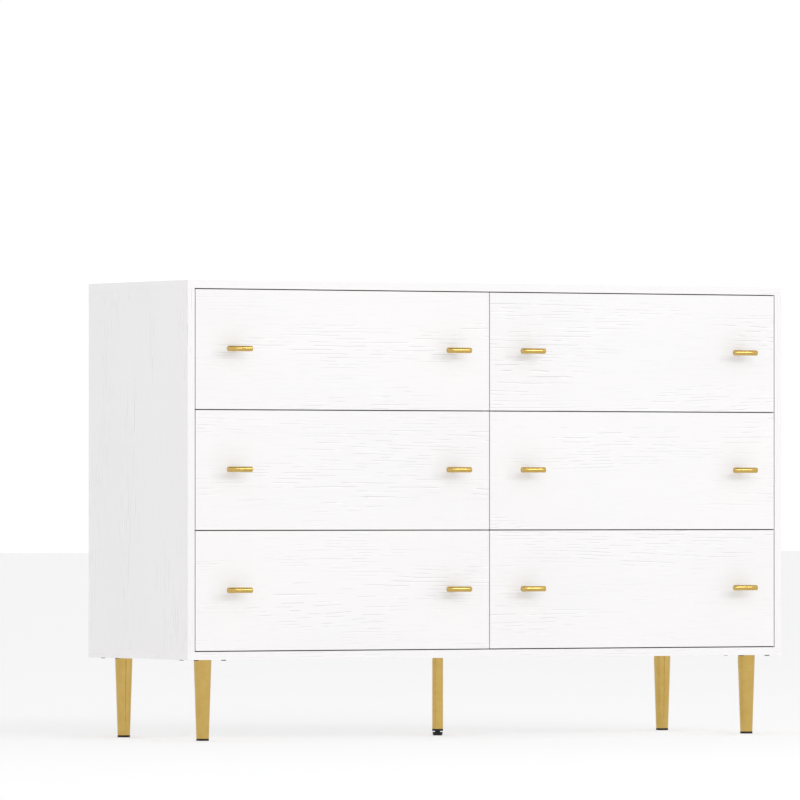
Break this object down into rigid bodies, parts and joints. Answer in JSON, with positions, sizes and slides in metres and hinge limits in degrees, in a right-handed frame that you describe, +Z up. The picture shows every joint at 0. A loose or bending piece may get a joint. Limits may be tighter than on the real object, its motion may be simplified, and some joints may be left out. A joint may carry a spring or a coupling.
{
  "type": "dresser with drawers",
  "caption": "Low wide white dresser with side-by-side full-extension drawers and gold T-bar knobs, on tapered gold metal legs with a straight centre support leg.",
  "frame": {"origin": "on the floor, half way across the width and half way between the knobs' tips and the back of the case", "axes": "+Z up, -Y out of the drawer fronts, +X to the right of someone facing the drawers"},
  "size_m": [1.3, 0.4314, 0.862],
  "materials": {
    "white_foil_board": "satin white wood-grain foil on particle board",
    "white_hardboard": "matt white-faced hardboard",
    "gold_metal": "bright gold plated steel",
    "zinc_steel": "bright zinc plated steel",
    "black_steel": "black phosphated steel screws",
    "black_plastic": "matt black moulded plastic",
    "beech_dowel": "plain fluted beech"
  },
  "bodies": {
    "case": {"top_panel": "white_foil_board", "bottom_panel": "white_foil_board", "left_side_panel": "white_foil_board", "right_side_panel": "white_foil_board", "centre_divider": "white_foil_board", "back_panel_left": "white_hardboard", "back_panel_right": "white_hardboard", "cam_fittings": "zinc_steel", "wooden_dowels": "beech_dowel", "leg_front_left": "gold_metal", "leg_front_right": "gold_metal", "leg_back_left": "gold_metal", "leg_back_right": "gold_metal", "centre_leg": "gold_metal", "leg_plugs": "black_plastic", "case_screws": "black_steel", "slide_outer_members": "zinc_steel"},
    "bottom_left_drawer": {"bottom_left_drawer_front": "white_foil_board", "bottom_left_drawer_sides": "white_foil_board", "bottom_left_drawer_back": "white_foil_board", "bottom_left_drawer_bottom": "white_hardboard", "bottom_left_knobs": "gold_metal", "bottom_left_slide_inner_members": "zinc_steel"},
    "bottom_left_slide_middle": {"bottom_left_slide_middle_members": "zinc_steel"},
    "bottom_right_drawer": {"bottom_right_drawer_front": "white_foil_board", "bottom_right_drawer_sides": "white_foil_board", "bottom_right_drawer_back": "white_foil_board", "bottom_right_drawer_bottom": "white_hardboard", "bottom_right_knobs": "gold_metal", "bottom_right_slide_inner_members": "zinc_steel"},
    "bottom_right_slide_middle": {"bottom_right_slide_middle_members": "zinc_steel"},
    "middle_left_drawer": {"middle_left_drawer_front": "white_foil_board", "middle_left_drawer_sides": "white_foil_board", "middle_left_drawer_back": "white_foil_board", "middle_left_drawer_bottom": "white_hardboard", "middle_left_knobs": "gold_metal", "middle_left_slide_inner_members": "zinc_steel"},
    "middle_left_slide_middle": {"middle_left_slide_middle_members": "zinc_steel"},
    "middle_right_drawer": {"middle_right_drawer_front": "white_foil_board", "middle_right_drawer_sides": "white_foil_board", "middle_right_drawer_back": "white_foil_board", "middle_right_drawer_bottom": "white_hardboard", "middle_right_knobs": "gold_metal", "middle_right_slide_inner_members": "zinc_steel"},
    "middle_right_slide_middle": {"middle_right_slide_middle_members": "zinc_steel"},
    "top_left_drawer": {"top_left_drawer_front": "white_foil_board", "top_left_drawer_sides": "white_foil_board", "top_left_drawer_back": "white_foil_board", "top_left_drawer_bottom": "white_hardboard", "top_left_knobs": "gold_metal", "top_left_slide_inner_members": "zinc_steel"},
    "top_left_slide_middle": {"top_left_slide_middle_members": "zinc_steel"},
    "top_right_drawer": {"top_right_drawer_front": "white_foil_board", "top_right_drawer_sides": "white_foil_board", "top_right_drawer_back": "white_foil_board", "top_right_drawer_bottom": "white_hardboard", "top_right_knobs": "gold_metal", "top_right_slide_inner_members": "zinc_steel"},
    "top_right_slide_middle": {"top_right_slide_middle_members": "zinc_steel"},
    "levelling_foot": {"levelling_foot": "black_plastic"}
  },
  "joints": [
    {"name": "bottom_left_drawer_slide", "type": "slide", "parent": "case", "child": "bottom_left_drawer", "axis": [0, -1, 0], "range_m": [0, 0.35]},
    {"name": "bottom_left_middle_slide", "type": "slide", "parent": "case", "child": "bottom_left_slide_middle", "axis": [0, -1, 0], "range_m": [0, 0.175]},
    {"name": "bottom_right_drawer_slide", "type": "slide", "parent": "case", "child": "bottom_right_drawer", "axis": [0, -1, 0], "range_m": [0, 0.35]},
    {"name": "bottom_right_middle_slide", "type": "slide", "parent": "case", "child": "bottom_right_slide_middle", "axis": [0, -1, 0], "range_m": [0, 0.175]},
    {"name": "middle_left_drawer_slide", "type": "slide", "parent": "case", "child": "middle_left_drawer", "axis": [0, -1, 0], "range_m": [0, 0.35]},
    {"name": "middle_left_middle_slide", "type": "slide", "parent": "case", "child": "middle_left_slide_middle", "axis": [0, -1, 0], "range_m": [0, 0.175]},
    {"name": "middle_right_drawer_slide", "type": "slide", "parent": "case", "child": "middle_right_drawer", "axis": [0, -1, 0], "range_m": [0, 0.35]},
    {"name": "middle_right_middle_slide", "type": "slide", "parent": "case", "child": "middle_right_slide_middle", "axis": [0, -1, 0], "range_m": [0, 0.175]},
    {"name": "top_left_drawer_slide", "type": "slide", "parent": "case", "child": "top_left_drawer", "axis": [0, -1, 0], "range_m": [0, 0.35]},
    {"name": "top_left_middle_slide", "type": "slide", "parent": "case", "child": "top_left_slide_middle", "axis": [0, -1, 0], "range_m": [0, 0.175]},
    {"name": "top_right_drawer_slide", "type": "slide", "parent": "case", "child": "top_right_drawer", "axis": [0, -1, 0], "range_m": [0, 0.35]},
    {"name": "top_right_middle_slide", "type": "slide", "parent": "case", "child": "top_right_slide_middle", "axis": [0, -1, 0], "range_m": [0, 0.175]},
    {"name": "levelling_foot_screw", "type": "slide", "parent": "case", "child": "levelling_foot", "axis": [0, 0, 1], "range_m": [-0.012, 0.0015]}
  ],
  "couplings": [
    {"joint": "bottom_left_middle_slide", "follows": "bottom_left_drawer_slide", "ratio": 0.5},
    {"joint": "bottom_right_middle_slide", "follows": "bottom_right_drawer_slide", "ratio": 0.5},
    {"joint": "middle_left_middle_slide", "follows": "middle_left_drawer_slide", "ratio": 0.5},
    {"joint": "middle_right_middle_slide", "follows": "middle_right_drawer_slide", "ratio": 0.5},
    {"joint": "top_left_middle_slide", "follows": "top_left_drawer_slide", "ratio": 0.5},
    {"joint": "top_right_middle_slide", "follows": "top_right_drawer_slide", "ratio": 0.5}
  ]
}
